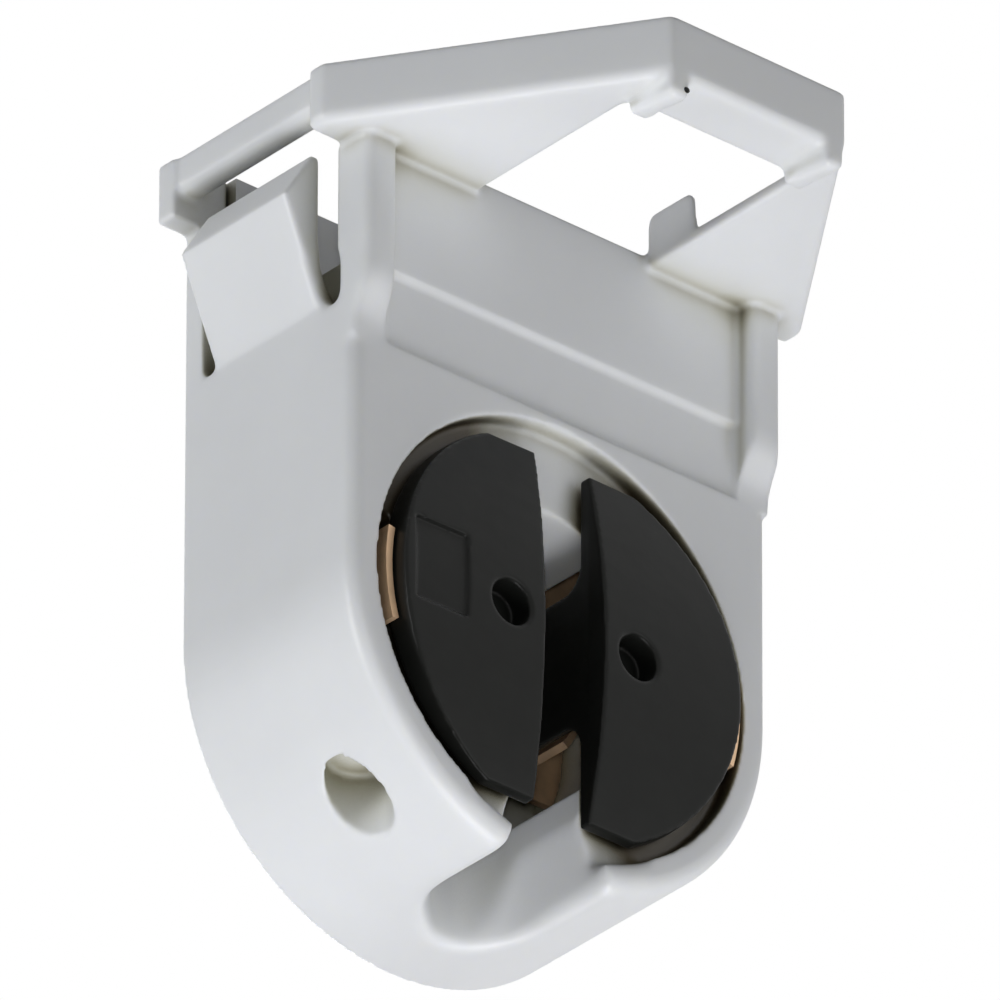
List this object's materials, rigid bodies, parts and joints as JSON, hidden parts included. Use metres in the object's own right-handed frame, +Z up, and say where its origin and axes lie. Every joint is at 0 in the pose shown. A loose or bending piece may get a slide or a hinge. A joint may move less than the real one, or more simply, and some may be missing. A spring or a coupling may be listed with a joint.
{
  "type": "fluorescent tube lamp holder",
  "caption": "Push-through rotor lamp holder for a two-pin fluorescent tube: white U-shaped housing with side hooks and tray flange, dark turning rotor with pin slot.",
  "frame": {"origin": "on the lamp axis, in the plane of the housing's front face", "axes": "+Z up towards the flange, -Y out of the front face along the lamp, +X to the right seen from the lamp"},
  "size_m": [0.0316, 0.0275, 0.0402],
  "materials": {
    "white_plastic": "satin",
    "dark_plastic": "satin",
    "bronze": "bright strip",
    "spring_steel": "plain"
  },
  "bodies": {
    "root": {"housing": "white_plastic", "rear_cover": "white_plastic", "terminal_block": "white_plastic", "contact_left": "bronze", "contact_right": "bronze", "clamp_spring_1": "spring_steel", "clamp_spring_2": "spring_steel", "clamp_spring_3": "spring_steel", "clamp_spring_4": "spring_steel"},
    "rotor_body": {"rotor": "dark_plastic"}
  },
  "joints": [
    {"name": "rotor_turn", "type": "hinge", "parent": "root", "child": "rotor_body", "pos_m": [0, 0, 0], "axis": [0, 1, 0], "range_deg": [-90, 90]}
  ]
}
